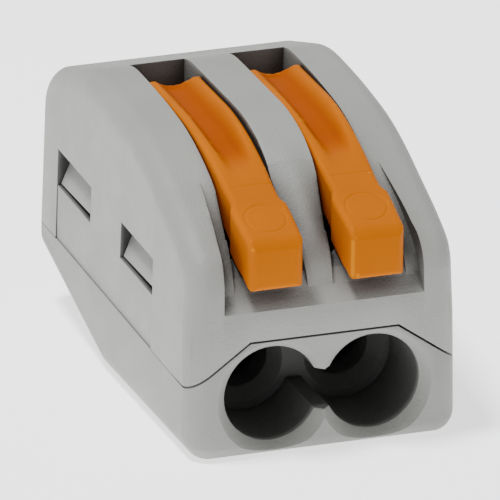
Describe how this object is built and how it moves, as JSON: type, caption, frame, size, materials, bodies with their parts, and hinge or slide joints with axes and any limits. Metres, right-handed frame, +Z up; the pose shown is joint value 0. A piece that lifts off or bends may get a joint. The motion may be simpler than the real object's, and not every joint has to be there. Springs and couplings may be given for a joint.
{
  "type": "lever wire connector",
  "caption": "Small splicing connector with a grey snap-together housing and orange hinged levers that open looped spring clamps.",
  "frame": {"origin": "bottom centre of the bounding box with the levers closed", "axes": "+X to the right seen from the wire entries, the wire entries face -Y, +Z up"},
  "size_m": [0.0134, 0.0224, 0.0137],
  "materials": {
    "housing": "fine moulded grain",
    "lever": "semi-gloss moulded",
    "spring": "rolled spring strip",
    "bar": "tinned copper, satin"
  },
  "bodies": {
    "housing": {"upper_housing": "housing", "lower_housing": "housing", "current_bar": "bar", "spring_loop_left": "spring", "spring_loop_right": "spring"},
    "lever_left": {"lever_left": "lever"},
    "cage_left": {"spring_cage_left": "spring"},
    "lever_right": {"lever_right": "lever"},
    "cage_right": {"spring_cage_right": "spring"}
  },
  "joints": [
    {"name": "lever_left_hinge", "type": "hinge", "parent": "housing", "child": "lever_left", "pos_m": [-0.0025, 0.00172, 0.011], "axis": [-1, 0, 0], "range_deg": [0, 90]},
    {"name": "cage_left_flex", "type": "hinge", "parent": "housing", "child": "cage_left", "pos_m": [-0.0025, 0.00443, 0.007], "axis": [1, 0, 0], "range_deg": [0, 20]},
    {"name": "lever_right_hinge", "type": "hinge", "parent": "housing", "child": "lever_right", "pos_m": [0.0025, 0.00172, 0.011], "axis": [-1, 0, 0], "range_deg": [0, 90]},
    {"name": "cage_right_flex", "type": "hinge", "parent": "housing", "child": "cage_right", "pos_m": [0.0025, 0.00443, 0.007], "axis": [1, 0, 0], "range_deg": [0, 20]}
  ],
  "couplings": [
    {"joint": "cage_left_flex", "follows": "lever_left_hinge", "ratio": 0.22222},
    {"joint": "cage_right_flex", "follows": "lever_right_hinge", "ratio": 0.22222}
  ]
}
